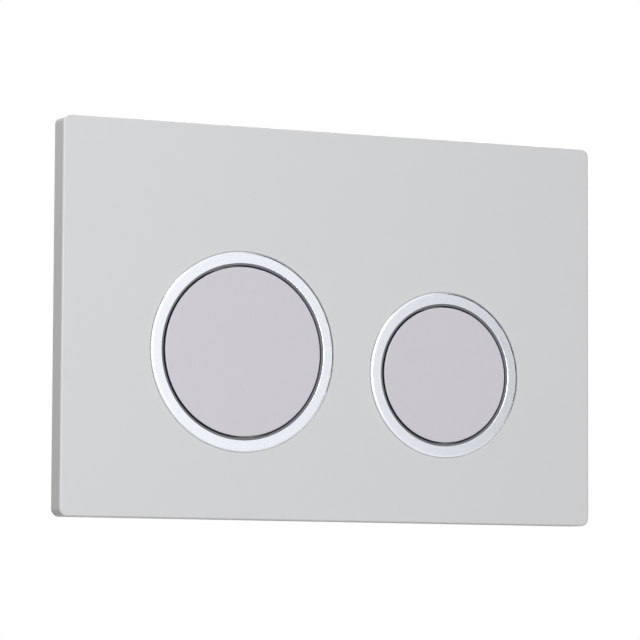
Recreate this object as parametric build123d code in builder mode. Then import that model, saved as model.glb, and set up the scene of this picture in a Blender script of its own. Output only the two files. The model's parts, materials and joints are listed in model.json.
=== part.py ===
from build123d import *
import math
import os
from collections import namedtuple

# Dual flush button plate for a concealed cistern, in millimetres.
# The origin lies on the wall face, midway between the two fixing bolts. +X is to the
# right seen from the room, +Y goes into the wall and +Z is up. Levels in this file are
# heights in front of the wall, so a level of 10 is at y = -10.

# Plate shell
plate_width = 246.0
plate_height = 164.0
plate_depth = 9.5
plate_wall_gap = 0.5
plate_corner_radius = 3.4
plate_edge_radius = 0.8
plate_face_thickness = 2.4
plate_side_thickness = 2.2
plate_inner_corner_radius = 1.0
plate_rib_height = 1.6
plate_rib_width = 1.2

# Buttons: both trim rings stand on one base line
large_ring_radius = 41.8
small_ring_radius = 35.3
large_button_x = -42.0
small_button_x = 52.3
ring_base_line = -54.15
button_travel = 5.0

# Trim rings
ring_width = 5.0
ring_proud = 0.6
ring_edge_radius = 1.0
ring_lip_radius = 0.25
ring_step_width = 0.8
ring_step_depth = 0.7
ring_seat_depth = 0.7
ring_seat_clearance = 0.2
ring_collar_thickness = 2.2
ring_collar_length = 4.8
ring_collar_clearance = 0.2
ring_lug_count = 4
ring_lug_width = 9.0
ring_lug_height = 1.0
ring_lug_reach = 0.9
ring_lug_gap = 0.1

# Button caps
button_clearance = 0.7
cap_edge_radius = 0.5
cap_thickness = 2.2
cap_skirt_thickness = 1.8
cap_skirt_length = 4.6
cap_barb_count = 3
cap_barb_width = 10.0
cap_barb_height = 0.7
cap_barb_reach = 0.8
cap_barb_gap = 0.1

# Plungers
plunger_disc_thickness = 2.0
plunger_disc_clearance = 0.15
plunger_rim_width = 2.6
plunger_spoke_count = 6
plunger_spoke_width = 4.0
stem_radius = 6.0
stem_tail = 2.5
stem_chamfer = 0.6
stem_key_count = 2
stem_key_width = 2.0
stem_key_reach = 1.2
stem_key_clearance = 0.15
stem_key_setback = 1.0
groove_depth = 1.2
groove_play = 0.1

# Return springs
spring_wire_radius = 0.5
spring_rest_length = 11.0
spring_half_turns = 8
spring_clearance = 1.0
spring_end_gap = 0.05
spring_end_flat = 0.25
spring_seat_width = 1.2
spring_seat_height = 1.2

# Carrier
carrier_gap = 1.5
carrier_thickness = 2.2
carrier_corner_radius = 5.0
carrier_rim_width = 1.8
carrier_rim_height = 3.0
carrier_rib_width = 1.6
cup_clearance = 1.0
cup_wall = 1.8
cup_edge_radius = 1.2
cup_floor_thickness = 2.0
cup_window_count = 6
cup_window_margin = 3.0
cup_spoke_width = 8.0
bush_wall = 3.0
bush_clearance = 0.08
bush_front_gap = 0.3
bush_tail = 6.4
bush_chamfer = 0.6

# Stem fittings
buffer_thickness = 1.5
buffer_clearance = 0.05
clip_thickness = 1.0
clip_band = 1.8
clip_prong_count = 3
clip_prong_width = 3.0
clip_mouth_width = 8.2
clip_clearance = 0.05

# Push rods and lock nuts
rod_thread_radius = 3.0
rod_thread_clearance = 0.05
rod_thread_engagement = 8.0
rod_bore_margin = 1.0
rod_radius = 3.5
rod_length = 51.0
rod_end_radius = 1.5
rod_shoulder_gap = 1.0
nut_across_flats = 10.0
nut_thickness = 5.0

# Carrier screws
screw_radius = 1.45
screw_length = 8.0
screw_head_radius = 2.8
screw_head_height = 2.0
screw_head_rounding = 0.9
screw_thread_clearance = 0.05
screw_hole_clearance = 0.25
screw_tip_gap = 0.4
boss_wall = 1.9
boss_inset = 8.0

# Mounting frame
frame_side_inset = 6.0
frame_top_inset = 8.0
frame_thickness = 3.0
frame_corner_radius = 6.0
frame_side_bar = 27.0
frame_top_bar = 16.0
frame_rim_width = 1.5
frame_rim_height = 1.6
collar_inset = 10.5
collar_thickness = 2.0
collar_depth = 10.0
collar_corner_radius = 8.0
gusset_spacing = 28.0
gusset_rows = 4
gusset_thickness = 1.6
gusset_reach = 10.0
gusset_depth = 8.0
post_radius = 3.0
post_inset = 9.0

# Snap hooks on the plate, and their catches on the frame
hook_spacing = 124.0
hook_width = 12.0
hook_thickness = 1.8
hook_gap = 0.3
hook_reach = 1.4
hook_nose = 0.3
hook_tip_level = 0.7
catch_lip = 1.3
catch_play = 0.1
catch_depth = 2.0
catch_side_gap = 2.0

# Fixing bolts and washers
bolt_thread_radius = 3.0
bolt_thread_length = 42.0
bolt_end_chamfer = 0.8
bolt_shank_radius = 3.3
bolt_head_radius = 5.5
bolt_head_height = 3.0
bolt_head_rounding = 0.5
bolt_slot_width = 1.2
bolt_slot_depth = 1.2
bolt_window_inset = 8.0
bolt_hole_clearance = 0.3
bolt_hole_adjustment = 3.0
washer_radius = 6.0
washer_thickness = 0.8
washer_clearance = 0.2

# Levels that several pieces share
front_level = plate_wall_gap + plate_depth
inner_level = front_level - plate_face_thickness
ring_level = front_level + ring_proud
seat_level = front_level - ring_seat_depth
disc_front_level = ring_level - cap_thickness
disc_back_level = disc_front_level - plunger_disc_thickness
floor_level = disc_back_level - spring_rest_length
floor_back_level = floor_level - cup_floor_thickness
bush_front_level = disc_back_level - button_travel - bush_front_gap
bush_back_level = floor_back_level - bush_tail
buffer_back_level = bush_back_level - buffer_thickness
groove_back_level = buffer_back_level - clip_thickness - groove_play
stem_back_level = groove_back_level - stem_tail
nut_back_level = stem_back_level - nut_thickness
shoulder_level = nut_back_level - rod_shoulder_gap
rod_tip_level = stem_back_level + rod_thread_engagement
rod_end_level = shoulder_level - rod_length
catch_level = frame_thickness - catch_lip
washer_level = frame_thickness + washer_thickness
bolt_top_level = washer_level + bolt_head_height

# Radii and half sizes that several pieces share
stem_bore = stem_radius + bush_clearance
bush_radius = stem_bore + bush_wall
key_radius = stem_radius + stem_key_reach
groove_radius = stem_radius - groove_depth
spring_radius = bush_radius + spring_clearance + spring_wire_radius
spring_seat_radius = spring_radius + spring_wire_radius + spring_clearance
hub_radius = spring_seat_radius + spring_seat_width
thread_bore = rod_thread_radius + rod_thread_clearance
boss_bore = screw_radius + screw_thread_clearance
boss_radius = boss_bore + boss_wall
frame_half_width = plate_width / 2 - frame_side_inset
frame_half_height = plate_height / 2 - frame_top_inset
window_half_width = frame_half_width - frame_side_bar
window_half_height = frame_half_height - frame_top_bar
carrier_half_width = window_half_width - carrier_gap
carrier_half_height = window_half_height - carrier_gap
bolt_x = window_half_width + bolt_window_inset
bolt_hole_radius = bolt_shank_radius + bolt_hole_clearance

Button = namedtuple("Button", "name x z ring lip bore collar cap skirt disc cup_bore cup")


def button(name, x, ring):
    """The radii of one button, from its trim ring inwards and then out to its cup."""
    lip = ring - ring_width
    bore = lip - ring_step_width
    cap = bore - button_clearance
    skirt = cap - cap_skirt_thickness
    return Button(
        name=name,
        x=x,
        z=ring_base_line + ring,
        ring=ring,
        lip=lip,
        bore=bore,
        collar=bore + ring_collar_thickness,
        cap=cap,
        skirt=skirt,
        disc=skirt - plunger_disc_clearance,
        cup_bore=cap + cup_clearance,
        cup=cap + cup_clearance + cup_wall,
    )


large = button("large", large_button_x, large_ring_radius)
small = button("small", small_button_x, small_ring_radius)
buttons = (large, small)

# The middle screws stand halfway between the two rings, and the outer ones near the carrier's ends
screw_middle = (large.x + large.ring + small.x - small.ring) / 2
screw_x = (boss_inset - carrier_half_width, screw_middle, carrier_half_width - boss_inset)
screw_z = (boss_inset - carrier_half_height, carrier_half_height - boss_inset)
screw_places = [(x, z) for z in screw_z for x in screw_x]
bolt_places = [(-bolt_x, 0), (bolt_x, 0)]


def level(height, x=0.0, z=0.0):
    """A plane at this height in front of the wall, facing the room, with its origin at x and z."""
    return Plane(origin=(x, -height, z), x_dir=(1, 0, 0), z_dir=(0, -1, 0))


def section(x, z):
    """A plane through the line at x and z, to draw profiles as (radius, height) and turn them."""
    return Plane(origin=(x, 0, z), x_dir=(1, 0, 0), z_dir=(0, 0, -1))


def centre_line(x, z):
    """The line at x and z that points into the room."""
    return Axis((x, 0, z), (0, -1, 0))


def save(piece, name):
    """Labels a finished piece and writes it as its own file."""
    piece.part.label = name
    export_step(piece.part, f"parts/{name}.step")


def trim_ring(b):
    """A bright ring: a flange in the plate's seat, a lower step round its bore, and a collar held by
    lugs behind the plate.
    """
    step_level = ring_level - ring_step_depth
    with BuildPart() as ring:
        with BuildSketch(section(b.x, b.z)) as profile:
            with BuildLine():
                Polyline(
                    (b.bore, seat_level - ring_collar_length),
                    (b.bore, step_level),
                    (b.lip, step_level),
                    (b.lip, ring_level),
                    (b.ring, ring_level),
                    (b.ring, seat_level),
                    (b.collar, seat_level),
                    (b.collar, seat_level - ring_collar_length),
                    close=True,
                )
            make_face()
            fillet(profile.vertices().group_by(Axis.Y)[-1].sort_by(Axis.X)[-1], ring_edge_radius)
            fillet(profile.vertices().group_by(Axis.Y)[-1].sort_by(Axis.X)[0], ring_lip_radius)
        revolve(axis=centre_line(b.x, b.z))
        with BuildSketch(level(inner_level - ring_lug_gap, b.x, b.z)):
            with PolarLocations((b.bore + b.collar) / 2, ring_lug_count):
                Rectangle(2 * ring_lug_reach + ring_collar_thickness, ring_lug_width)
            Circle(b.collar + ring_lug_reach, mode=Mode.INTERSECT)
            Circle((b.bore + b.collar) / 2, mode=Mode.SUBTRACT)
        extrude(amount=-ring_lug_height)
    return ring


def button_cap(b):
    """A flat round cap with a skirt, and barbs inside the skirt that grip the plunger's disc."""
    barb_level = disc_back_level - cap_barb_gap
    with BuildPart() as cap:
        with BuildSketch(level(ring_level, b.x, b.z)):
            Circle(b.cap)
        extrude(amount=-cap_thickness - cap_skirt_length)
        fillet(cap.edges().sort_by(Axis.Y)[0], cap_edge_radius)
        with BuildSketch(level(disc_front_level, b.x, b.z)):
            Circle(b.skirt)
        extrude(amount=-cap_skirt_length, mode=Mode.SUBTRACT)
        with BuildSketch(level(barb_level, b.x, b.z)):
            with PolarLocations(b.skirt, cap_barb_count):
                Rectangle(2 * cap_barb_reach, cap_barb_width)
            Circle((b.skirt + b.cap) / 2, mode=Mode.INTERSECT)
            Circle(b.skirt - cap_barb_reach, mode=Mode.SUBTRACT)
        extrude(amount=-cap_barb_height)
    return cap


def plunger(b):
    """A spoked disc under the cap, with a keyed guide stem that is bored for the push rod."""
    with BuildPart() as body:
        with BuildSketch(level(disc_back_level, b.x, b.z)):
            Circle(b.disc)
            Circle(b.disc - plunger_rim_width, mode=Mode.SUBTRACT)
            with PolarLocations(b.disc / 2, plunger_spoke_count):
                Rectangle(b.disc - plunger_rim_width, plunger_spoke_width)
            Circle(hub_radius)
        extrude(amount=plunger_disc_thickness)
        with BuildSketch(level(disc_back_level, b.x, b.z)):
            Circle(hub_radius)
            Circle(spring_seat_radius, mode=Mode.SUBTRACT)
        extrude(amount=-spring_seat_height)
        with BuildSketch(level(stem_back_level, b.x, b.z)):
            Circle(stem_radius)
        extrude(amount=disc_back_level - stem_back_level)
        chamfer(body.edges().sort_by(Axis.Y)[-1], stem_chamfer)
        with BuildSketch(level(bush_back_level + stem_key_setback, b.x, b.z)):
            with PolarLocations(stem_radius, stem_key_count):
                Rectangle(2 * stem_key_reach, stem_key_width)
            Circle(key_radius, mode=Mode.INTERSECT)
        extrude(until=Until.NEXT)
        with BuildSketch(level(groove_back_level, b.x, b.z)):
            Circle(stem_radius)
            Circle(groove_radius, mode=Mode.SUBTRACT)
        extrude(amount=clip_thickness + groove_play, mode=Mode.SUBTRACT)
        with BuildSketch(level(stem_back_level, b.x, b.z)):
            Circle(thread_bore)
        extrude(amount=rod_thread_engagement + rod_bore_margin, mode=Mode.SUBTRACT)
    return body


def return_spring(b):
    """A coil spring round the guide bush, with both ends ground flat.

    Each half turn is an arc that tilts as it rises, so that the next one carries straight on from it.
    """
    start_level = floor_level + spring_end_gap
    length = spring_rest_length - 2 * spring_end_gap
    rise = (length - 2 * spring_end_flat) / spring_half_turns
    crest_radius = math.hypot(spring_radius, rise / 2)

    def coil_point(half_turns, radius):
        """A point of the wire's centre line, so many half turns from its start."""
        angle = math.pi * half_turns
        return (
            b.x + radius * math.cos(angle),
            -start_level - spring_end_flat - rise * half_turns,
            b.z + radius * math.sin(angle),
        )

    with BuildPart() as spring:
        with BuildLine() as coil:
            for half in range(spring_half_turns):
                ThreePointArc(
                    coil_point(half, spring_radius),
                    coil_point(half + 1 / 2, crest_radius),
                    coil_point(half + 1, spring_radius),
                )
        with BuildSketch(Plane(origin=coil.line @ 0, z_dir=coil.line % 0)):
            Circle(spring_wire_radius)
        sweep()
        with BuildSketch(level(start_level, b.x, b.z)):
            Circle(spring_seat_radius)
        extrude(amount=length, mode=Mode.INTERSECT)
    return spring


def buffer_ring(b):
    """A soft ring between the bush and the clip."""
    with BuildPart() as ring:
        with BuildSketch(level(buffer_back_level, b.x, b.z)):
            Circle(bush_radius)
            Circle(stem_radius + buffer_clearance, mode=Mode.SUBTRACT)
        extrude(amount=buffer_thickness)
    return ring


def stem_clip(b):
    """An open clip whose prongs spring into the stem's groove, with its mouth at the bottom."""
    grip = groove_radius + clip_clearance
    with BuildPart() as clip:
        with BuildSketch(level(buffer_back_level, b.x, b.z)):
            Circle(bush_radius)
            Circle(bush_radius - clip_band, mode=Mode.SUBTRACT)
            with PolarLocations((grip + bush_radius) / 2, clip_prong_count, start_angle=90):
                Rectangle(bush_radius - grip, clip_prong_width)
            Circle(bush_radius, mode=Mode.INTERSECT)
            Circle(grip, mode=Mode.SUBTRACT)
            with Locations((0, -bush_radius)):
                Rectangle(clip_mouth_width, bush_radius, mode=Mode.SUBTRACT)
        extrude(amount=-clip_thickness)
    return clip


def push_rod(b):
    """A plain rod with a thinner threaded end that screws into the stem."""
    with BuildPart() as rod:
        with BuildSketch(level(rod_end_level, b.x, b.z)):
            Circle(rod_radius)
        extrude(amount=rod_length)
        fillet(rod.edges().sort_by(Axis.Y)[-1], rod_end_radius)
        with BuildSketch(level(shoulder_level, b.x, b.z)):
            Circle(rod_thread_radius)
        extrude(amount=rod_tip_level - shoulder_level)
    return rod


def lock_nut(b):
    """A hexagon nut that locks the push rod against the end of the stem."""
    with BuildPart() as nut:
        with BuildSketch(level(nut_back_level, b.x, b.z)):
            RegularPolygon(nut_across_flats / 2, 6, major_radius=False)
            Circle(thread_bore, mode=Mode.SUBTRACT)
        extrude(amount=nut_thickness)
    return nut


def front_plate():
    """The plate shell: apertures with ring seats, ribs, screw bosses, posts and snap hooks."""
    inner_width = plate_width - 2 * plate_side_thickness
    inner_height = plate_height - 2 * plate_side_thickness
    post_x = frame_half_width - post_inset
    post_z = frame_half_height - post_inset
    arm_z = frame_half_height + hook_gap
    barb_level = catch_level - catch_play
    with BuildPart() as plate:
        with BuildSketch(level(plate_wall_gap)):
            RectangleRounded(plate_width, plate_height, plate_corner_radius)
        extrude(amount=plate_depth)
        fillet(plate.faces().sort_by(Axis.Y)[0].edges(), plate_edge_radius)
        with BuildSketch(level(plate_wall_gap)):
            RectangleRounded(inner_width, inner_height, plate_inner_corner_radius)
        extrude(amount=plate_depth - plate_face_thickness, mode=Mode.SUBTRACT)

        # Ribs that tie the bosses to the side walls, with a rim round each aperture
        with BuildSketch(level(inner_level)):
            with Locations(*[(x, 0) for x in screw_x]):
                Rectangle(plate_rib_width, inner_height)
            with Locations(*[(0, z) for z in screw_z]):
                Rectangle(inner_width, plate_rib_width)
            for b in buttons:
                with Locations((b.x, b.z)):
                    Circle(b.ring + plate_rib_width)
            for b in buttons:
                with Locations((b.x, b.z)):
                    Circle(b.ring, mode=Mode.SUBTRACT)
        extrude(amount=-plate_rib_height)

        # Screw bosses, down to the front of the carrier
        with BuildSketch(level(carrier_thickness)):
            with Locations(*screw_places):
                Circle(boss_radius)
        extrude(until=Until.NEXT)
        with BuildSketch(level(carrier_thickness)):
            with Locations(*screw_places):
                Circle(boss_bore)
        extrude(amount=screw_length + screw_tip_gap - carrier_thickness, mode=Mode.SUBTRACT)

        # Posts that stand on the front of the mounting frame
        with BuildSketch(level(frame_thickness)):
            with GridLocations(2 * post_x, 2 * post_z, 2, 2):
                Circle(post_radius)
        extrude(until=Until.NEXT)

        # Apertures, each with a round seat for its trim ring
        for b in buttons:
            with BuildSketch(level(inner_level, b.x, b.z)):
                Circle(b.collar + ring_collar_clearance)
            extrude(amount=plate_face_thickness, mode=Mode.SUBTRACT)
            with BuildSketch(level(seat_level, b.x, b.z)):
                Circle(b.ring + ring_seat_clearance)
            extrude(amount=ring_seat_depth, mode=Mode.SUBTRACT)

        # Snap hooks over the top and bottom edges of the mounting frame
        for side in (-1, 1):
            for hook_x in (-hook_spacing / 2, hook_spacing / 2):
                with BuildSketch(Plane.YZ.offset(hook_x)):
                    with BuildLine():
                        Polyline(
                            (-inner_level, side * arm_z),
                            (-barb_level, side * arm_z),
                            (-barb_level, side * (arm_z - hook_reach)),
                            (-barb_level + hook_nose, side * (arm_z - hook_reach)),
                            (-hook_tip_level, side * arm_z),
                            (-hook_tip_level, side * (arm_z + hook_thickness)),
                            (-inner_level, side * (arm_z + hook_thickness)),
                            close=True,
                        )
                    make_face()
                extrude(amount=hook_width / 2, both=True)
    return plate


def button_carrier():
    """The moulded carrier: a rimmed flange with two cups, their guide bushes and spring seats."""
    rib_length = 2 * carrier_half_height - 4 * boss_inset
    upper_rib_z = (large.z + large.cup + carrier_half_height - boss_inset) / 2
    with BuildPart() as carrier:
        with BuildSketch(level(0)):
            RectangleRounded(
                2 * carrier_half_width,
                2 * carrier_half_height,
                carrier_corner_radius,
            )
        extrude(amount=carrier_thickness)
        with BuildSketch(level(0)):
            RectangleRounded(
                2 * carrier_half_width,
                2 * carrier_half_height,
                carrier_corner_radius,
            )
            RectangleRounded(
                2 * (carrier_half_width - carrier_rim_width),
                2 * (carrier_half_height - carrier_rim_width),
                carrier_corner_radius - carrier_rim_width,
                mode=Mode.SUBTRACT,
            )
            with Locations((screw_middle, 0)):
                Rectangle(carrier_rib_width, rib_length)
            with Locations((large.x, 0), (small.x, 0)):
                Rectangle(carrier_rib_width, 2 * carrier_half_height)
            with Locations((0, upper_rib_z)):
                Rectangle(2 * carrier_half_width, carrier_rib_width)
        extrude(amount=-carrier_rim_height)

        # Cups, and the guide bushes that stand through their floors
        with BuildSketch(level(floor_back_level)):
            for b in buttons:
                with Locations((b.x, b.z)):
                    Circle(b.cup)
        extrude(amount=-floor_back_level)
        fillet(carrier.edges().group_by(Axis.Y)[-1], cup_edge_radius)
        with BuildSketch(level(floor_level)):
            for b in buttons:
                with Locations((b.x, b.z)):
                    Circle(b.cup_bore)
        extrude(amount=carrier_thickness - floor_level, mode=Mode.SUBTRACT)
        with BuildSketch(level(bush_back_level)):
            with Locations(*[(b.x, b.z) for b in buttons]):
                Circle(bush_radius)
        extrude(amount=bush_front_level - bush_back_level)
        chamfer(carrier.edges().group_by(Axis.Y)[-1], bush_chamfer)

        for b in buttons:
            # Windows through the cup's floor, which leave spokes between hub and wall
            with BuildSketch(level(floor_back_level, b.x, b.z)):
                Circle(b.cup_bore - cup_window_margin)
                Circle(hub_radius + cup_window_margin, mode=Mode.SUBTRACT)
                with PolarLocations(b.cup_bore / 2, cup_window_count):
                    Rectangle(b.cup_bore, cup_spoke_width, mode=Mode.SUBTRACT)
            extrude(amount=cup_floor_thickness, mode=Mode.SUBTRACT)

            # The ring that centres the spring, and the bush's bore with its keyways
            with BuildSketch(level(floor_level, b.x, b.z)):
                Circle(hub_radius)
                Circle(spring_seat_radius, mode=Mode.SUBTRACT)
            extrude(amount=spring_seat_height)
            with BuildSketch(level(bush_back_level, b.x, b.z)):
                Circle(stem_bore)
                with PolarLocations(stem_radius, stem_key_count):
                    Rectangle(
                        2 * (stem_key_reach + stem_key_clearance),
                        stem_key_width + 2 * stem_key_clearance,
                    )
            extrude(amount=bush_front_level - bush_back_level, mode=Mode.SUBTRACT)
        with BuildSketch(level(0)):
            with Locations(*screw_places):
                Circle(screw_radius + screw_hole_clearance)
        extrude(amount=carrier_thickness, mode=Mode.SUBTRACT)
    return carrier


def carrier_screws():
    """Six pan head screws, from the back of the carrier into the plate's bosses."""
    with BuildPart() as screws:
        with BuildSketch(level(0)):
            with Locations(*screw_places):
                Circle(screw_head_radius)
        extrude(amount=-screw_head_height)
        fillet(screws.edges().group_by(Axis.Y)[-1], screw_head_rounding)
        with BuildSketch(level(0)):
            with Locations(*screw_places):
                Circle(screw_radius)
        extrude(amount=screw_length)
    return screws


def mounting_frame():
    """The wall frame: a flange with a window, a collar into the wall opening, slots and catches."""
    collar_half_width = frame_half_width - collar_inset
    collar_half_height = frame_half_height - collar_inset
    slot_length = 2 * (bolt_hole_radius + bolt_hole_adjustment)
    catch_width = hook_width + 2 * catch_side_gap
    with BuildPart() as frame:
        with BuildSketch(level(0)):
            RectangleRounded(2 * frame_half_width, 2 * frame_half_height, frame_corner_radius)
        extrude(amount=frame_thickness)
        with BuildSketch(level(frame_thickness)):
            RectangleRounded(
                2 * (window_half_width + frame_rim_width),
                2 * (window_half_height + frame_rim_width),
                frame_corner_radius + frame_rim_width,
            )
        extrude(amount=frame_rim_height)
        with BuildSketch(level(0)):
            RectangleRounded(2 * collar_half_width, 2 * collar_half_height, collar_corner_radius)
            RectangleRounded(
                2 * (collar_half_width - collar_thickness),
                2 * (collar_half_height - collar_thickness),
                collar_corner_radius - collar_thickness,
                mode=Mode.SUBTRACT,
            )
        extrude(amount=-collar_depth)

        # Gussets that brace the collar beside the bolts
        collar_inside = collar_half_width - collar_thickness
        for row in range(gusset_rows):
            gusset_z = (row - (gusset_rows - 1) / 2) * gusset_spacing
            for side in (-1, 1):
                with BuildSketch(Plane.XY.offset(gusset_z)):
                    with BuildLine():
                        Polyline(
                            (side * collar_inside, 0),
                            (side * collar_inside, gusset_depth),
                            (side * (collar_inside - gusset_reach), 0),
                            close=True,
                        )
                    make_face()
                extrude(amount=gusset_thickness / 2, both=True)

        # The window, the bolt slots and the catches for the plate's hooks
        with BuildSketch(level(0)):
            RectangleRounded(2 * window_half_width, 2 * window_half_height, frame_corner_radius)
        extrude(amount=frame_thickness + frame_rim_height, mode=Mode.SUBTRACT)
        with BuildSketch(level(0)):
            with Locations(*bolt_places):
                SlotOverall(slot_length, 2 * bolt_hole_radius)
        extrude(amount=frame_thickness, mode=Mode.SUBTRACT)
        with BuildSketch(level(0)):
            with GridLocations(hook_spacing, 2 * frame_half_height, 2, 2):
                Rectangle(catch_width, 2 * catch_depth)
        extrude(amount=catch_level, mode=Mode.SUBTRACT)
    return frame


def fixing_bolts():
    """Two slotted bolts that clamp the frame to the wall and screw into the cistern."""
    with BuildPart() as bolts:
        with BuildSketch(level(washer_level)):
            with Locations(*bolt_places):
                Circle(bolt_head_radius)
        extrude(amount=bolt_head_height)
        fillet(bolts.edges().group_by(Axis.Y)[0], bolt_head_rounding)
        with BuildSketch(level(bolt_top_level)):
            with Locations(*bolt_places):
                Rectangle(bolt_slot_width, 2 * bolt_head_radius)
        extrude(amount=-bolt_slot_depth, mode=Mode.SUBTRACT)
        with BuildSketch(level(0)):
            with Locations(*bolt_places):
                Circle(bolt_shank_radius)
        extrude(amount=washer_level)
        with BuildSketch(level(0)):
            with Locations(*bolt_places):
                Circle(bolt_thread_radius)
        extrude(amount=-bolt_thread_length)
        chamfer(bolts.edges().group_by(Axis.Y)[-1], bolt_end_chamfer)
    return bolts


def bolt_washers():
    """Two flat washers that bridge the slots of the mounting frame."""
    with BuildPart() as washers:
        with BuildSketch(level(frame_thickness)):
            with Locations(*bolt_places):
                Circle(washer_radius)
                Circle(bolt_shank_radius + washer_clearance, mode=Mode.SUBTRACT)
        extrude(amount=washer_thickness)
    return washers


os.makedirs("parts", exist_ok=True)
for b in buttons:
    save(trim_ring(b), f"{b.name}_trim_ring")
    save(button_cap(b), f"{b.name}_button_cap")
    save(plunger(b), f"{b.name}_plunger")
    save(return_spring(b), f"{b.name}_return_spring")
    save(buffer_ring(b), f"{b.name}_buffer_ring")
    save(stem_clip(b), f"{b.name}_stem_clip")
    save(push_rod(b), f"{b.name}_push_rod")
    save(lock_nut(b), f"{b.name}_lock_nut")
save(front_plate(), "front_plate")
save(button_carrier(), "button_carrier")
save(carrier_screws(), "carrier_screws")
save(mounting_frame(), "mounting_frame")
save(fixing_bolts(), "fixing_bolts")
save(bolt_washers(), "bolt_washers")
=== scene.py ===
import json
import math

import bmesh
import bpy
from mathutils import Matrix, Quaternion, Vector


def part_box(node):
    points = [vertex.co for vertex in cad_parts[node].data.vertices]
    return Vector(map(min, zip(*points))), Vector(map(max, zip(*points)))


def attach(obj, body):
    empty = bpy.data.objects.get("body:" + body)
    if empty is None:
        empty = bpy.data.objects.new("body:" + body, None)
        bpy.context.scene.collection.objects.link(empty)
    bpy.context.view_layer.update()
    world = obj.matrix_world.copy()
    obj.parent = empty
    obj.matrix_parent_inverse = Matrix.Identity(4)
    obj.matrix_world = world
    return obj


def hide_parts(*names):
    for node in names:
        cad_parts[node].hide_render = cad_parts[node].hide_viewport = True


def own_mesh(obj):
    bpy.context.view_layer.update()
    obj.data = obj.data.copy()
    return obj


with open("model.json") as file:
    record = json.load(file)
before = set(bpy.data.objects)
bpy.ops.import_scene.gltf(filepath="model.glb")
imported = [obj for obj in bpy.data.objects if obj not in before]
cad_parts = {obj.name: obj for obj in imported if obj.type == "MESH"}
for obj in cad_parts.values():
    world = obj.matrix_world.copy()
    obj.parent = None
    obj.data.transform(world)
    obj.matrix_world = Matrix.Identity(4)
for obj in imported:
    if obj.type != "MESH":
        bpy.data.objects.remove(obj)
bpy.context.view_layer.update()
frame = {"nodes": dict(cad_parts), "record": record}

# Dual flush button plate for a concealed cistern: the finish of its pieces, and the studio round it.
# Sizes are in millimetres, and MM turns them into metres. Y points into the wall and Z is up.
MM = 0.001

# Copies of the solids, and how wide the outer corners of each are broken
WELD = 0.002
FLAT_ANGLE = math.radians(0.5)
SHARP_ANGLE = math.radians(50.0)
EDGE_SEGMENTS = 3
LACQUERED_EDGE = 0.12
PLUNGER_EDGE = 0.25
SOFT_RING_EDGE = 0.4
CLIP_EDGE = 0.12
CARRIER_EDGE = 0.3
FRAME_EDGE = 0.35
WASHER_EDGE = 0.15

# Front plate and button caps: the walls that the bare inside lies behind, and how far lacquer reaches
# down the edge of a cap, below which the skirt is charcoal as painted shade for the gap round it
PLATE_WALL = 2.2
PLATE_FACE = 2.4
CAP_LACQUER = 0.6

# Trim rings: the plated face, and the step inside it, drawn mid grey as painted shade in the recess
RING_FACE = 5.0
RING_STEP = 0.7

# Return springs
SPRING_WIRE = 1.0
SPRING_END_FLAT = 0.25
SPRING_DEAD_TURNS = 1
SPRING_DEAD_PITCH = 1.02
SPRING_LIVE_TURNS = 3
SPRING_STEPS = 48
WIRE_SEGMENTS = 14

# Metric threads on the bolts and the push rods, with their flats as shares of the pitch
THREAD_PITCH = 1.0
THREAD_DEPTH = 0.55
THREAD_ROOT_FLAT = 0.25
THREAD_CREST_FLAT = 0.125
THREAD_STEPS = 28
BOLT_THREAD_RADIUS = 3.0
BOLT_SHANK_STUB = 0.02
BOLT_TIP_CHAMFER = 0.8

# Push rods: scored rings where an installer cuts them to length
ROD_RADIUS = 3.5
ROD_LENGTH = 51.0
ROD_END_ROUNDING = 1.5
ROD_NECK = 0.4
SCORE_SPACING = 5.0
SCORE_WIDTH = 0.7
SCORE_DEPTH = 0.3
SCORE_MARGIN = 8.0

# Lock nuts
NUT_APOTHEM = 5.0
NUT_FACE_RADIUS = 4.75
NUT_FACE_SLOPE = math.radians(30.0)
NUT_BORE = 3.05
NUT_BORE_CHAMFER = 0.35

# Carrier screws
SCREW_HEAD_RADIUS = 2.8
SCREW_RADIUS = 1.45
SCREW_LENGTH = 8.0
SCREW_FACE_RADIUS = 1.95
RECESS_ARM = 1.45
RECESS_HALF_WIDTH = 0.36
RECESS_DEPTH = 1.2
RECESS_TAPER = 0.62

# Turned pieces
ROUND_SEGMENTS = 64
ROUNDING_STEPS = 6
QUARTER_TURN = math.radians(90.0)
NEAR_ZERO = 1e-6

# Finishes: how large and how deep their patterns are, and how rough they leave the surface
LACQUER_CLOUD = 70.0
LACQUER_FLAKE = 0.4
LACQUER_DEPTH = 0.02
LACQUER_ROUGHNESS = (0.34, 0.46)
CHROME_CIRCLES = 0.3
CHROME_BLAST = 0.45
CHROME_DEPTH = 0.02
CHROME_ROUGHNESS = (0.12, 0.3)
MOULDING_FLOW = 25.0
MOULDING_ROUGHNESS_SPREAD = 0.1
METAL_DEPTH = 0.01

# The photograph's camera
CAMERA_AIM = (-6.553, -9.905, 2.278)
CAMERA_DISTANCE = 1557.0
CAMERA_YAW = 25.702
CAMERA_PITCH = 4.787
CAMERA_ROLL = 0.278
CAMERA_LENS = 208.76
CAMERA_SENSOR = 36.0

# The studio
FLOOR_LEVEL = -300.0
FLOOR_WIDTH = 12000.0
PAPER_GLOW = 0.62
SWEEP_START = 500.0
SWEEP_END = 1800.0
AMBIENT = 0.2
KEY_PLACE = (-500.0, -2300.0, 310.0)
KEY_WIDTH = 1200.0
KEY_POWER = 41.5
SIDE_PLACE = (-420.0, 20.0, 620.0)
SIDE_WIDTH = 300.0
SIDE_POWER = 1.6
FILL_PLACE = (900.0, 2300.0, 1300.0)
FILL_WIDTH = 1500.0
FILL_POWER = 50.0
FLAG_PLACE = (1600.0, 220.0, 1100.0)
FLAG_WIDTH = 5660.0
FLAG_HEIGHT = 2800.0
FLAG_TURN = 90.0

BUTTONS = ("large", "small")

nodes = frame["nodes"]


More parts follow.
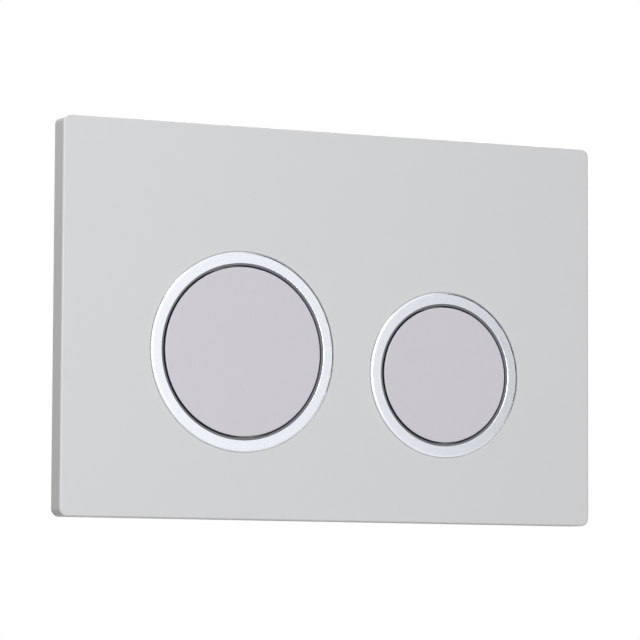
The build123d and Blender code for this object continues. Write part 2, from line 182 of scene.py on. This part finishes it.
def linear(colour):
    """A colour written as an sRGB hex value, as the linear one that shaders take."""
    channels = [int(colour[i : i + 2], 16) / 255 for i in (1, 3, 5)]
    return [c / 12.92 if c <= 0.04045 else ((c + 0.055) / 1.055) ** 2.4 for c in channels] + [1.0]


def per_mm(size):
    """The scale of a pattern whose features are this many millimetres across."""
    return 1 / (size * MM)


def add(tree, kind, inputs=None, **settings):
    """Adds a node with its settings, and fills its sockets with values or with other nodes' outputs."""
    node = tree.nodes.new(kind)
    for name, value in settings.items():
        setattr(node, name, value)
    sockets = {socket.identifier: socket for socket in node.inputs}
    for name, value in (inputs or {}).items():
        if isinstance(value, bpy.types.NodeSocket):
            tree.links.new(value, sockets[name])
        else:
            sockets[name].default_value = value
    return node


def new_material(name):
    """An empty node material, and its tree."""
    material = bpy.data.materials.new(name)
    material.use_nodes = True
    material.node_tree.nodes.clear()
    return material, material.node_tree


def finish_material(tree, shader):
    """Gives a material the shader that it shows."""
    add(tree, "ShaderNodeOutputMaterial", {"Surface": shader.outputs["BSDF"]})


def mixed(node):
    """The colour that a Mix node gives."""
    return next(socket for socket in node.outputs if socket.identifier == "Result_Color")


def satin_lacquer(name, low, high, flake_high):
    """Silver lacquer sprayed on ABS: its aluminium flake gives a soft grain, and the satin clear coat
    spreads highlights wide. Real flake is about 0.03 mm, drawn at 0.4 mm so that it shows at all."""
    material, tree = new_material(name)
    place = add(tree, "ShaderNodeTexCoord").outputs["Object"]
    cloud = add(
        tree, "ShaderNodeTexNoise", {"Vector": place, "Scale": per_mm(LACQUER_CLOUD), "Detail": 2.0}
    )
    flake = add(
        tree, "ShaderNodeTexNoise", {"Vector": place, "Scale": per_mm(LACQUER_FLAKE), "Detail": 2.0}
    )
    coat = add(
        tree,
        "ShaderNodeMix",
        {"Factor_Float": cloud.outputs["Fac"], "A_Color": linear(low), "B_Color": linear(high)},
        data_type="RGBA",
    )
    tone = add(
        tree,
        "ShaderNodeMix",
        {"Factor_Float": flake.outputs["Fac"], "A_Color": mixed(coat), "B_Color": linear(flake_high)},
        data_type="RGBA",
    )
    sheen = add(
        tree,
        "ShaderNodeMapRange",
        {
            "Value": flake.outputs["Fac"],
            "To Min": LACQUER_ROUGHNESS[0],
            "To Max": LACQUER_ROUGHNESS[1],
        },
    )
    grain = add(
        tree,
        "ShaderNodeBump",
        {"Height": flake.outputs["Fac"], "Strength": 0.12, "Distance": LACQUER_DEPTH * MM},
    )
    shader = add(
        tree,
        "ShaderNodeBsdfPrincipled",
        {
            "Base Color": mixed(tone),
            "Metallic": 0.0,
            "Roughness": sheen.outputs["Result"],
            "IOR": 1.5,
            "Normal": grain.outputs["Normal"],
        },
    )
    finish_material(tree, shader)
    return material


def satin_chrome(name, line):
    """Chrome on a turned and lightly blasted ring: near white, with fine circles left by the tool and a
    sparkle of blasting grain. The circles are about 0.05 mm apart, drawn at 0.3 mm to show."""
    material, tree = new_material(name)
    place = add(tree, "ShaderNodeTexCoord").outputs["Object"]
    centred = add(
        tree,
        "ShaderNodeMapping",
        {"Vector": place, "Location": (-line.x, 0.0, -line.z), "Scale": (1.0, 0.0, 1.0)},
    )
    radius = add(
        tree,
        "ShaderNodeVectorMath",
        {"Vector": centred.outputs["Vector"]},
        operation="LENGTH",
    )
    circles = add(
        tree,
        "ShaderNodeTexNoise",
        {"W": radius.outputs["Value"], "Scale": per_mm(CHROME_CIRCLES), "Detail": 2.0},
        noise_dimensions="1D",
    )
    blast = add(
        tree, "ShaderNodeTexNoise", {"Vector": place, "Scale": per_mm(CHROME_BLAST), "Detail": 2.0}
    )
    tone = add(
        tree,
        "ShaderNodeMix",
        {
            "Factor_Float": blast.outputs["Fac"],
            "A_Color": linear("#D8DDE5"),
            "B_Color": linear("#F3F6FB"),
        },
        data_type="RGBA",
    )
    plated = add(
        tree,
        "ShaderNodeMix",
        {"Factor_Float": circles.outputs["Fac"], "A_Color": linear("#F6F9FF"), "B_Color": mixed(tone)},
        data_type="RGBA",
    )
    sheen = add(
        tree,
        "ShaderNodeMapRange",
        {
            "Value": circles.outputs["Fac"],
            "To Min": CHROME_ROUGHNESS[0],
            "To Max": CHROME_ROUGHNESS[1],
        },
    )
    grooves = add(
        tree,
        "ShaderNodeBump",
        {"Height": circles.outputs["Fac"], "Strength": 0.2, "Distance": CHROME_DEPTH * MM},
    )
    grain = add(
        tree,
        "ShaderNodeBump",
        {
            "Height": blast.outputs["Fac"],
            "Strength": 0.25,
            "Distance": CHROME_DEPTH * MM,
            "Normal": grooves.outputs["Normal"],
        },
    )
    shader = add(
        tree,
        "ShaderNodeBsdfPrincipled",
        {
            "Base Color": mixed(plated),
            "Metallic": 1.0,
            "Roughness": sheen.outputs["Result"],
            "Normal": grain.outputs["Normal"],
        },
    )
    finish_material(tree, shader)
    return material


def moulded_plastic(name, low, high, roughness, ior, texture, depth):
    """An injection moulding: its colour drifts a little with the flow, and the tool's spark-eroded
    texture, of this size and depth in millimetres, breaks up its sheen."""
    material, tree = new_material(name)
    place = add(tree, "ShaderNodeTexCoord").outputs["Object"]
    flow = add(
        tree, "ShaderNodeTexNoise", {"Vector": place, "Scale": per_mm(MOULDING_FLOW), "Detail": 3.0}
    )
    spark = add(tree, "ShaderNodeTexNoise", {"Vector": place, "Scale": per_mm(texture), "Detail": 3.0})
    tone = add(
        tree,
        "ShaderNodeMix",
        {"Factor_Float": flow.outputs["Fac"], "A_Color": linear(low), "B_Color": linear(high)},
        data_type="RGBA",
    )
    sheen = add(
        tree,
        "ShaderNodeMapRange",
        {
            "Value": spark.outputs["Fac"],
            "To Min": roughness - MOULDING_ROUGHNESS_SPREAD,
            "To Max": roughness + MOULDING_ROUGHNESS_SPREAD,
        },
    )
    skin = add(
        tree,
        "ShaderNodeBump",
        {"Height": spark.outputs["Fac"], "Strength": 0.3, "Distance": depth * MM},
    )
    shader = add(
        tree,
        "ShaderNodeBsdfPrincipled",
        {
            "Base Color": mixed(tone),
            "Roughness": sheen.outputs["Result"],
            "IOR": ior,
            "Normal": skin.outputs["Normal"],
        },
    )
    finish_material(tree, shader)
    return material


def bare_metal(name, low, high, smooth, rough, spangle, streak):
    """A metal skin whose tone and gloss change in patches of one size in millimetres, with fine marks
    of a second size from drawing or plating."""
    material, tree = new_material(name)
    place = add(tree, "ShaderNodeTexCoord").outputs["Object"]
    patch = add(tree, "ShaderNodeTexNoise", {"Vector": place, "Scale": per_mm(spangle), "Detail": 3.0})
    mark = add(tree, "ShaderNodeTexNoise", {"Vector": place, "Scale": per_mm(streak), "Detail": 2.0})
    tone = add(
        tree,
        "ShaderNodeMix",
        {"Factor_Float": patch.outputs["Fac"], "A_Color": linear(low), "B_Color": linear(high)},
        data_type="RGBA",
    )
    sheen = add(
        tree,
        "ShaderNodeMapRange",
        {"Value": mark.outputs["Fac"], "To Min": smooth, "To Max": rough},
    )
    skin = add(
        tree,
        "ShaderNodeBump",
        {"Height": mark.outputs["Fac"], "Strength": 0.2, "Distance": METAL_DEPTH * MM},
    )
    shader = add(
        tree,
        "ShaderNodeBsdfPrincipled",
        {
            "Base Color": mixed(tone),
            "Metallic": 1.0,
            "Roughness": sheen.outputs["Result"],
            "Normal": skin.outputs["Normal"],
        },
    )
    finish_material(tree, shader)
    return material


def line_of(button):
    """The point on the wall where a button's centre line meets it."""
    low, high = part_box(f"{button}_push_rod")
    return Vector(((low.x + high.x) / 2, 0.0, (low.z + high.z) / 2))


def merged(node):
    """A copy of a solid's mesh with its corners welded and its flat areas joined."""
    bm = bmesh.new()
    bm.from_mesh(nodes[node].data)
    bmesh.ops.remove_doubles(bm, verts=bm.verts, dist=WELD * MM)
    bmesh.ops.dissolve_limit(bm, angle_limit=FLAT_ANGLE, verts=bm.verts, edges=bm.edges)
    return bm


def join(bm, other):
    """Adds the geometry of another bmesh, which is then done with."""
    mesh = bpy.data.meshes.new("joined")
    other.to_mesh(mesh)
    other.free()
    bm.from_mesh(mesh)
    bpy.data.meshes.remove(mesh)


def edges_of(geom):
    """The edges among some parts of a mesh."""
    return [part for part in geom if isinstance(part, bmesh.types.BMEdge)]


def cut_off(bm, y, outwards):
    """Cuts away what lies past a y level, and gives the edges of the cut."""
    cut = bmesh.ops.bisect_plane(
        bm,
        geom=bm.verts[:] + bm.edges[:] + bm.faces[:],
        plane_co=(0.0, y * MM, 0.0),
        plane_no=(0.0, outwards, 0.0),
        clear_outer=True,
    )
    return edges_of(cut["geom_cut"])


def break_edges(bm, width):
    """Rounds the outer corners of a moulding or a pressing, as its tool leaves them."""
    corners = [
        edge
        for edge in bm.edges
        if len(edge.link_faces) == 2 and edge.calc_face_angle_signed() > SHARP_ANGLE
    ]
    bmesh.ops.bevel(
        bm,
        geom=corners,
        offset=width * MM,
        offset_type="OFFSET",
        segments=EDGE_SEGMENTS,
        profile=0.5,
        affect="EDGES",
        material=-1,
    )


def mark_sharp(bm):
    """Keeps the shading of a piece crisp at its corners."""
    for edge in bm.edges:
        if len(edge.link_faces) == 2 and edge.calc_face_angle() > SHARP_ANGLE:
            edge.smooth = False


def show(name, bm, body, materials, stands_for, edge=None):
    """Makes a bmesh a piece that rides on a body in place of a solid. An edge width rounds corners."""
    if edge:
        break_edges(bm, edge)
    mark_sharp(bm)
    for face in bm.faces:
        face.smooth = True
    mesh = bpy.data.meshes.new(name)
    bm.to_mesh(mesh)
    bm.free()
    for material in materials:
        mesh.materials.append(material)
    piece = bpy.data.objects.new(name, mesh)
    bpy.context.scene.collection.objects.link(piece)
    normals = piece.modifiers.new("flat_faces", "WEIGHTED_NORMAL")
    normals.keep_sharp = True
    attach(piece, body)
    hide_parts(stands_for)
    return piece


def dress(name, node, body, material, edge):
    """Shows a solid in its own shape and one finish, with its outer corners broken."""
    show(name, merged(node), body, (material,), node, edge=edge)


def turned(line, outline, closed=False):
    """A turned shape round a line: outline lists (radius, y) in millimetres, from the front backwards.

    A radius may be a function of the angle, for a ring that isn't round. A closed outline comes back
    to its start, as a ring's does. An open one is capped at both ends.
    """
    bm = bmesh.new()
    facing_wall = Matrix.Rotation(QUARTER_TURN, 4, "X")
    rings = []
    for radius, y in outline:
        verts = bmesh.ops.create_circle(
            bm, segments=ROUND_SEGMENTS, radius=1.0, matrix=facing_wall
        )["verts"]
        for vert in verts:
            angle = math.atan2(vert.co.z, vert.co.x)
            reach = radius(angle) if callable(radius) else radius
            vert.co = line + Vector((vert.co.x * reach * MM, y * MM, vert.co.z * reach * MM))
        rings.append(list({edge for vert in verts for edge in vert.link_edges}))
    pairs = list(zip(rings, rings[1:]))
    if closed:
        pairs.append((rings[-1], rings[0]))
    for front, back in pairs:
        bmesh.ops.bridge_loops(bm, edges=front + back)
    if not closed:
        bmesh.ops.edgeloop_fill(bm, edges=rings[0])
        bmesh.ops.edgeloop_fill(bm, edges=rings[-1])
    bmesh.ops.recalc_face_normals(bm, faces=bm.faces)
    return bm


def threaded(line, start, end, radius, chamfer=0.0):
    """A length of metric thread round a line from one y to another.

    Its front end is hidden in another piece and is left without a cap.
    """
    root = radius - THREAD_DEPTH
    profile = (
        (root, 0.0),
        (root, THREAD_ROOT_FLAT / 2),
        (radius, 0.5 - THREAD_CREST_FLAT / 2),
        (radius, 0.5 + THREAD_CREST_FLAT / 2),
        (root, 1 - THREAD_ROOT_FLAT / 2),
        (root, 1.0),
    )
    turns = math.ceil((end - start) / THREAD_PITCH) + 2
    bm = bmesh.new()
    verts = [
        bm.verts.new(line + Vector((reach, start + (along - 1) * THREAD_PITCH, 0.0)) * MM)
        for reach, along in profile
    ]
    edges = [bm.edges.new(pair) for pair in zip(verts, verts[1:])]
    bmesh.ops.spin(
        bm,
        geom=verts + edges,
        cent=line,
        axis=(0.0, 1.0, 0.0),
        dvec=(0.0, THREAD_PITCH * MM / THREAD_STEPS, 0.0),
        angle=2 * math.pi * turns,
        steps=turns * THREAD_STEPS,
    )
    bmesh.ops.remove_doubles(bm, verts=bm.verts, dist=WELD * MM)
    for y, outwards in ((start, -1.0), (end, 1.0)):
        bmesh.ops.edgeloop_fill(bm, edges=cut_off(bm, y, outwards))
    for vert in bm.verts:
        spoke = Vector((vert.co.x - line.x, 0.0, vert.co.z - line.z))
        limit = (radius - max(0.0, vert.co.y / MM - end + chamfer)) * MM
        if spoke.length > limit:
            vert.co -= spoke * (1 - limit / spoke.length)
    bmesh.ops.recalc_face_normals(bm, faces=bm.faces)
    return bm


def coil(line, low, high):
    """A compression spring between two y levels: closed turns at both ends, ground flat."""
    wire = SPRING_WIRE / 2
    start, end = low + SPRING_END_FLAT, high - SPRING_END_FLAT
    rise = end - start - 2 * SPRING_DEAD_TURNS * SPRING_DEAD_PITCH
    stages = (
        (SPRING_DEAD_TURNS, SPRING_DEAD_PITCH),
        (SPRING_LIVE_TURNS, rise / SPRING_LIVE_TURNS),
        (SPRING_DEAD_TURNS, SPRING_DEAD_PITCH),
    )
    # Both springs are alike, so the large button's gives the radius of either
    left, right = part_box("large_return_spring")
    radius = (right.x - left.x) / 2 / MM - wire
    bm = bmesh.new()
    section = Matrix.Translation(line + Vector((radius, start, 0.0)) * MM)
    bmesh.ops.create_circle(
        bm, segments=WIRE_SEGMENTS, radius=wire * MM, cap_ends=True, matrix=section
    )
    geom = bm.edges[:]
    for turns, pitch in stages:
        swept = bmesh.ops.spin(
            bm,
            geom=geom,
            cent=line,
            axis=(0.0, 1.0, 0.0),
            dvec=(0.0, pitch * MM / SPRING_STEPS, 0.0),
            angle=2 * math.pi * turns,
            steps=turns * SPRING_STEPS,
        )
        geom = edges_of(swept["geom_last"])
    bmesh.ops.edgeloop_fill(bm, edges=geom)
    for y, outwards in ((low, -1.0), (high, 1.0)):
        bmesh.ops.edgeloop_fill(bm, edges=cut_off(bm, y, outwards))
    bmesh.ops.recalc_face_normals(bm, faces=bm.faces)
    return bm


def hexagon(angle):
    """How far a lock nut's side is from its centre at an angle."""
    off_flat = (angle + math.pi / 6) % (math.pi / 3) - math.pi / 6
    return NUT_APOTHEM / math.cos(off_flat)


def cross(scale):
    """The outline of a screw's cross recess, as a distance from its centre at an angle."""

    def reach(angle):
        off_arm = (angle + math.pi / 4) % (math.pi / 2) - math.pi / 4
        arm = RECESS_ARM * scale / math.cos(off_arm)
        side = RECESS_HALF_WIDTH * scale / max(abs(math.sin(off_arm)), NEAR_ZERO)
        return min(arm, side)

    return reach


def front_plate():
    """The plate shell: lacquered outside, with the bare moulding inside."""
    low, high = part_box("front_plate")
    bm = merged("front_plate")
    for face in bm.faces:
        centre = face.calc_center_median()
        inside = (
            low.x + PLATE_WALL * MM <= centre.x + WELD * MM
            and centre.x - WELD * MM <= high.x - PLATE_WALL * MM
            and low.z + PLATE_WALL * MM <= centre.z + WELD * MM
            and centre.z - WELD * MM <= high.z - PLATE_WALL * MM
        )
        face.material_index = int(inside and centre.y > low.y + PLATE_FACE * MM - WELD * MM)
    show(
        "plate_shell",
        bm,
        "housing",
        (silver_lacquer, bare_abs),
        "front_plate",
        edge=LACQUERED_EDGE,
    )


def trim_ring(button):
    """A bright ring in its seat; its step and bore round the button are drawn mid grey, as painted
    shade.
    """
    node = f"{button}_trim_ring"
    low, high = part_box(node)
    line = line_of(button)
    lip = (high.x - low.x) / 2 - (RING_FACE - WELD) * MM
    step = low.y + (RING_STEP - WELD) * MM
    bm = merged(node)
    for face in bm.faces:
        # Faces of the step and bore take the mid grey painted shade of the recess
        face.material_index = int(
            all(
                math.hypot(vert.co.x - line.x, vert.co.z - line.z) < lip and vert.co.y > step
                for vert in face.verts
            )
        )
    chrome = satin_chrome(f"satin_chrome_{button}", line)
    show(f"{button}_bright_ring", bm, "housing", (chrome, recess_shade_abs), node)


def button_cap(button):
    """A button: lacquered on its face and rounded edge, with a charcoal skirt that paints the shade in
    the gap round it.
    """
    low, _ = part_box(f"{button}_button_cap")
    bm = merged(f"{button}_button_cap")
    for face in bm.faces:
        # Faces below the lacquer take the charcoal painted shade of the gap round the button
        face.material_index = int(face.calc_center_median().y > low.y + CAP_LACQUER * MM)
    show(
        f"{button}_button",
        bm,
        f"{button}_button",
        (pearl_lacquer, gap_shade_abs),
        f"{button}_button_cap",
        edge=LACQUERED_EDGE,
    )


def plunger(button):
    """The spoked disc under a cap, with its guide stem."""
    dress(
        f"{button}_spoked_plunger",
        f"{button}_plunger",
        f"{button}_button",
        acetal,
        PLUNGER_EDGE,
    )


def return_spring(button):
    """A coil spring in the cup, under its button."""
    node = f"{button}_return_spring"
    low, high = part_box(node)
    line = line_of(button)
    piece = show(
        f"{button}_coil_spring",
        coil(line, low.y / MM, high.y / MM),
        "housing",
        (spring_wire,),
        node,
    )
    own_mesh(piece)


def stem_fittings(button):
    """The soft ring and the clip that stop the button's stem in its bush."""
    body = f"{button}_button"
    dress(
        f"{button}_soft_ring",
        f"{button}_buffer_ring",
        body,
        nitrile,
        SOFT_RING_EDGE,
    )
    dress(f"{button}_open_clip", f"{button}_stem_clip", body, spring_wire, CLIP_EDGE)


def push_rod(button):
    """A rod scored every few millimetres to be cut to length, with a threaded end in the stem."""
    node = f"{button}_push_rod"
    low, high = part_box(node)
    front, back = low.y / MM, high.y / MM
    shoulder = back - ROD_LENGTH
    outline = [(ROD_RADIUS - ROD_NECK, shoulder), (ROD_RADIUS, shoulder + ROD_NECK)]
    score = shoulder + SCORE_MARGIN
    while score < back - SCORE_MARGIN:
        outline += [
            (ROD_RADIUS, score - SCORE_WIDTH / 2),
            (ROD_RADIUS - SCORE_DEPTH, score - SCORE_WIDTH / 6),
            (ROD_RADIUS - SCORE_DEPTH, score + SCORE_WIDTH / 6),
            (ROD_RADIUS, score + SCORE_WIDTH / 2),
        ]
        score += SCORE_SPACING
    for step in range(ROUNDING_STEPS):
        turn = QUARTER_TURN * step / ROUNDING_STEPS
        outline.append(
            (
                ROD_RADIUS - ROD_END_ROUNDING * (1 - math.cos(turn)),
                back - ROD_END_ROUNDING * (1 - math.sin(turn)),
            )
        )
    outline.append((ROD_RADIUS - ROD_END_ROUNDING, back))
    line = line_of(button)
    bm = turned(line, outline)
    join(bm, threaded(line, front, shoulder + ROD_NECK, BOLT_THREAD_RADIUS))
    show(f"{button}_scored_rod", bm, f"{button}_button", (acetal,), node)


def lock_nut(button):
    """A hexagon nut with turned faces and a bevelled bore."""
    node = f"{button}_lock_nut"
    low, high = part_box(node)
    front, back = low.y / MM, high.y / MM
    slope = math.tan(NUT_FACE_SLOPE)

    def dropped(level, inwards):
        """The outer edge of a turned face, as rings that the hexagon's corners fall away from."""
        return level + inwards * slope * (NUT_APOTHEM / math.cos(math.pi / 6) - NUT_FACE_RADIUS)

    outline = [
        (NUT_BORE + NUT_BORE_CHAMFER, front),
        (NUT_FACE_RADIUS, front),
        (hexagon, dropped(front, 1.0)),
        (hexagon, dropped(back, -1.0)),
        (NUT_FACE_RADIUS, back),
        (NUT_BORE + NUT_BORE_CHAMFER, back),
        (NUT_BORE, back - NUT_BORE_CHAMFER),
        (NUT_BORE, front + NUT_BORE_CHAMFER),
    ]
    bm = turned(line_of(button), outline, closed=True)
    show(f"{button}_hexagon_nut", bm, f"{button}_button", (zinc_plate,), node)


def button_carrier():
    """The moulding with the two cups that the buttons work in."""
    dress("cup_carrier", "button_carrier", "housing", white_abs, CARRIER_EDGE)


def carrier_screws():
    """Pan head screws with a cross recess."""
    low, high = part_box("carrier_screws")
    _, large_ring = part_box("large_trim_ring")
    small_ring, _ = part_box("small_trim_ring")
    reach = SCREW_HEAD_RADIUS * MM
    across = (low.x + reach, (large_ring.x + small_ring.x) / 2, high.x - reach)
    upright = (low.z + reach, high.z - reach)
    head = high.y / MM
    outline = [(SCREW_RADIUS, -SCREW_LENGTH), (SCREW_RADIUS, 0.0), (SCREW_HEAD_RADIUS, 0.0)]
    rounding = SCREW_HEAD_RADIUS - SCREW_FACE_RADIUS
    outline.append((SCREW_HEAD_RADIUS, head - rounding))
    for step in range(1, ROUNDING_STEPS + 1):
        turn = QUARTER_TURN * step / ROUNDING_STEPS
        outline.append(
            (
                SCREW_FACE_RADIUS + rounding * math.cos(turn),
                head - rounding * (1 - math.sin(turn)),
            )
        )
    outline += [(cross(1.0), head), (cross(RECESS_TAPER), head - RECESS_DEPTH)]
    screws = bmesh.new()
    for x in across:
        for z in upright:
            join(screws, turned(Vector((x, 0.0, z)), outline))
    show("pan_head_screws", screws, "housing", (zinc_plate,), "carrier_screws")


def mounting_frame():
    """The frame on the wall that the plate clips to."""
    dress("wall_frame", "mounting_frame", "housing", grey_polypropylene, FRAME_EDGE)


def fixing_bolts():
    """Slotted bolts: the solid heads and shanks, with a cut thread behind them."""
    _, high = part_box("fixing_bolts")
    heads = merged("fixing_bolts")
    bmesh.ops.holes_fill(heads, edges=cut_off(heads, BOLT_SHANK_STUB, 1.0))
    mount = next(m for m in frame["record"]["mounts"] if m["name"] == "fixing_bolts")
    spacing = mount["dims"]["spacing_x_mm"]
    for side in (-1, 1):
        line = Vector((side * spacing / 2 * MM, 0.0, 0.0))
        join(heads, threaded(line, 0.0, high.y / MM, BOLT_THREAD_RADIUS, BOLT_TIP_CHAMFER))
    show("slotted_bolts", heads, "housing", (zinc_plate,), "fixing_bolts")


def bolt_washers():
    """The washers under the heads of the fixing bolts."""
    dress("flat_washers", "bolt_washers", "housing", zinc_plate, WASHER_EDGE)


def camera():
    """The camera where the photograph was taken from."""
    yaw, pitch = math.radians(CAMERA_YAW), math.radians(CAMERA_PITCH)
    forward = Vector(
        (math.sin(yaw) * math.cos(pitch), math.cos(yaw) * math.cos(pitch), math.sin(pitch))
    )
    data = bpy.data.cameras.new("photo_camera")
    data.sensor_width = CAMERA_SENSOR
    data.lens = CAMERA_LENS
    made = bpy.data.objects.new("photo_camera", data)
    made.location = (Vector(CAMERA_AIM) - forward * CAMERA_DISTANCE) * MM
    roll = Quaternion((0.0, 0.0, 1.0), math.radians(CAMERA_ROLL))
    made.rotation_euler = (forward.to_track_quat("-Z", "Y") @ roll).to_euler()
    bpy.context.scene.collection.objects.link(made)
    bpy.context.scene.camera = made


def seen_directly(tree):
    """One where the eye, a reflection or a clear piece looks straight at something, else nought."""
    path = add(tree, "ShaderNodeLightPath")
    eye = add(
        tree,
        "ShaderNodeMath",
        {"Value": path.outputs["Is Camera Ray"], "Value_001": path.outputs["Is Glossy Ray"]},
        operation="MAXIMUM",
    )
    return add(
        tree,
        "ShaderNodeMath",
        {"Value": eye.outputs["Value"], "Value_001": path.outputs["Is Transmission Ray"]},
        operation="MAXIMUM",
    ).outputs["Value"]


def white_world():
    """White wherever it is looked at, and a softer grey as the light that it sheds."""
    world = bpy.data.worlds.new("white_studio")
    world.use_nodes = True
    tree = world.node_tree
    tree.nodes.clear()
    soft = add(tree, "ShaderNodeBackground", {"Color": linear("#FFFFFF"), "Strength": AMBIENT})
    white = add(tree, "ShaderNodeBackground", {"Color": linear("#FFFFFF"), "Strength": 1.0})
    both = add(
        tree,
        "ShaderNodeMixShader",
        {
            "Fac": seen_directly(tree),
            "Shader": soft.outputs["Background"],
            "Shader_001": white.outputs["Background"],
        },
    )
    add(tree, "ShaderNodeOutputWorld", {"Surface": both.outputs["Shader"]})
    bpy.context.scene.world = world


def card(name, width, height, place, turn, material):
    """A flat sheet of the studio, upright and turned about Z, or lying flat where it has no turn."""
    bm = bmesh.new()
    bmesh.ops.create_grid(bm, x_segments=1, y_segments=1, size=0.5)
    bmesh.ops.scale(bm, vec=(width * MM, height * MM, 1.0), verts=bm.verts)
    if turn is not None:
        upright = Matrix.Rotation(QUARTER_TURN, 3, "X")
        bmesh.ops.rotate(bm, matrix=upright, verts=bm.verts)
        bmesh.ops.rotate(bm, matrix=Matrix.Rotation(math.radians(turn), 3, "Z"), verts=bm.verts)
    bmesh.ops.translate(bm, vec=Vector(place) * MM, verts=bm.verts)
    mesh = bpy.data.meshes.new(name)
    bm.to_mesh(mesh)
    bm.free()
    mesh.materials.append(material)
    sheet = bpy.data.objects.new(name, mesh)
    bpy.context.scene.collection.objects.link(sheet)
    return sheet


def floor_paper():
    """White paper: matt under the object, where it takes the shadow, and white like the backdrop further
    out, as a sweep of paper is."""
    material, tree = new_material("white_paper")
    matt = add(tree, "ShaderNodeBsdfDiffuse", {"Color": linear("#A2A2A2")})
    glow = add(tree, "ShaderNodeEmission", {"Color": linear("#FFFFFF"), "Strength": PAPER_GLOW})
    lit = add(
        tree,
        "ShaderNodeAddShader",
        {"Shader": matt.outputs["BSDF"], "Shader_001": glow.outputs["Emission"]},
    )
    place = add(tree, "ShaderNodeTexCoord").outputs["Object"]
    away = add(tree, "ShaderNodeVectorMath", {"Vector": place}, operation="LENGTH")
    fade = add(
        tree,
        "ShaderNodeMapRange",
        {"Value": away.outputs["Value"], "From Min": SWEEP_START * MM, "From Max": SWEEP_END * MM},
        interpolation_type="SMOOTHSTEP",
    )
    white = add(tree, "ShaderNodeEmission", {"Color": linear("#FFFFFF"), "Strength": 1.0})
    sweep = add(
        tree,
        "ShaderNodeMixShader",
        {
            "Fac": fade.outputs["Result"],
            "Shader": lit.outputs["Shader"],
            "Shader_001": white.outputs["Emission"],
        },
    )
    both = add(
        tree,
        "ShaderNodeMixShader",
        {
            "Fac": seen_directly(tree),
            "Shader": matt.outputs["BSDF"],
            "Shader_001": sweep.outputs["Shader"],
        },
    )
    add(tree, "ShaderNodeOutputMaterial", {"Surface": both.outputs["Shader"]})
    return material


def flag_felt():
    """Dark felt, which darkens the right side of whatever shines."""
    material, tree = new_material("dark_felt")
    felt = add(tree, "ShaderNodeBsdfDiffuse", {"Color": linear("#2E2E2E")})
    finish_material(tree, felt)
    return material


def softbox(name, place, width, power):
    """A square soft light that faces the object."""
    data = bpy.data.lights.new(name, "AREA")
    data.shape = "SQUARE"
    data.size = width * MM
    data.energy = power
    lamp = bpy.data.objects.new(name, data)
    lamp.location = Vector(place) * MM
    lamp.rotation_euler = (-lamp.location).to_track_quat("-Z", "Y").to_euler()
    bpy.context.scene.collection.objects.link(lamp)


def studio():
    """A pale floor, a key light from the left front, a small one over the left side, a fill from behind,
    and a dark flag on the right that only reflections show."""
    card("floor", FLOOR_WIDTH, FLOOR_WIDTH, (0.0, 0.0, FLOOR_LEVEL), None, floor_paper())
    flag = card("flag", FLAG_WIDTH, FLAG_HEIGHT, FLAG_PLACE, FLAG_TURN, flag_felt())
    for kind in ("camera", "diffuse", "shadow"):
        setattr(flag, f"visible_{kind}", False)
    softbox("key", KEY_PLACE, KEY_WIDTH, KEY_POWER)
    softbox("side", SIDE_PLACE, SIDE_WIDTH, SIDE_POWER)
    softbox("fill", FILL_PLACE, FILL_WIDTH, FILL_POWER)


# Plate: bright silver, evenly sprayed
silver_lacquer = satin_lacquer("satin_silver_lacquer", "#D0D1D3", "#D4D5D6", "#D9DADB")
# Buttons: the same lacquer over a darker base, a shade deeper and warmer
pearl_lacquer = satin_lacquer("satin_pearl_lacquer", "#C9C7CC", "#CECCD1", "#D4D2D7")
# Bare ABS inside the plate: pale grey with a dull moulded skin
bare_abs = moulded_plastic(
    "pale_grey_abs", "#B9BBBC", "#C2C4C5", roughness=0.5, ior=1.53, texture=0.6, depth=0.02
)
# Step and bore inside each ring: dull ABS drawn mid grey, as painted shade for the recess round the
# button
recess_shade_abs = moulded_plastic(
    "mid_grey_painted_recess_shade", "#64656A", "#6C6D72", roughness=0.45, ior=1.53, texture=0.6, depth=0.02
)
# Button skirts: charcoal ABS, painted shade that keeps the gap round a button dark
gap_shade_abs = moulded_plastic(
    "charcoal_painted_gap_shade", "#1B1B1D", "#222224", roughness=0.5, ior=1.53, texture=0.6, depth=0.02
)
# Carrier: white ABS, slightly glossy
white_abs = moulded_plastic(
    "white_abs", "#E2E2DF", "#EAEAE7", roughness=0.42, ior=1.53, texture=0.7, depth=0.02
)
# Frame: waxy grey polypropylene with a coarser texture
grey_polypropylene = moulded_plastic(
    "grey_polypropylene", "#A6A9AC", "#AFB2B5", roughness=0.5, ior=1.49, texture=0.9, depth=0.03
)
# Plungers and rods: natural acetal, milky and slick
acetal = moulded_plastic(
    "natural_acetal", "#EAE6DA", "#F0EDE3", roughness=0.32, ior=1.48, texture=0.5, depth=0.01
)
# Springs and clips: drawn stainless wire, grey and fairly bright
spring_wire = bare_metal(
    "drawn_stainless_wire", "#B4B2AE", "#C6C4C0", smooth=0.2, rough=0.34, spangle=2.0, streak=0.3
)
# Fasteners: bright zinc plate with a bluish passivated cast
zinc_plate = bare_metal(
    "bright_zinc_plate", "#BCC2CB", "#D2D5D8", smooth=0.22, rough=0.4, spangle=3.0, streak=0.4
)
# Soft rings: black nitrile rubber, dull with a faint bloom
nitrile = moulded_plastic(
    "black_nitrile_rubber", "#161616", "#1F1F1E", roughness=0.62, ior=1.52, texture=0.5, depth=0.02
)

front_plate()
button_carrier()
carrier_screws()
mounting_frame()
fixing_bolts()
bolt_washers()
for button in BUTTONS:
    trim_ring(button)
    button_cap(button)
    plunger(button)
    return_spring(button)
    stem_fittings(button)
    push_rod(button)
    lock_nut(button)

camera()
white_world()
studio()
bpy.context.scene.view_settings.view_transform = "Standard"
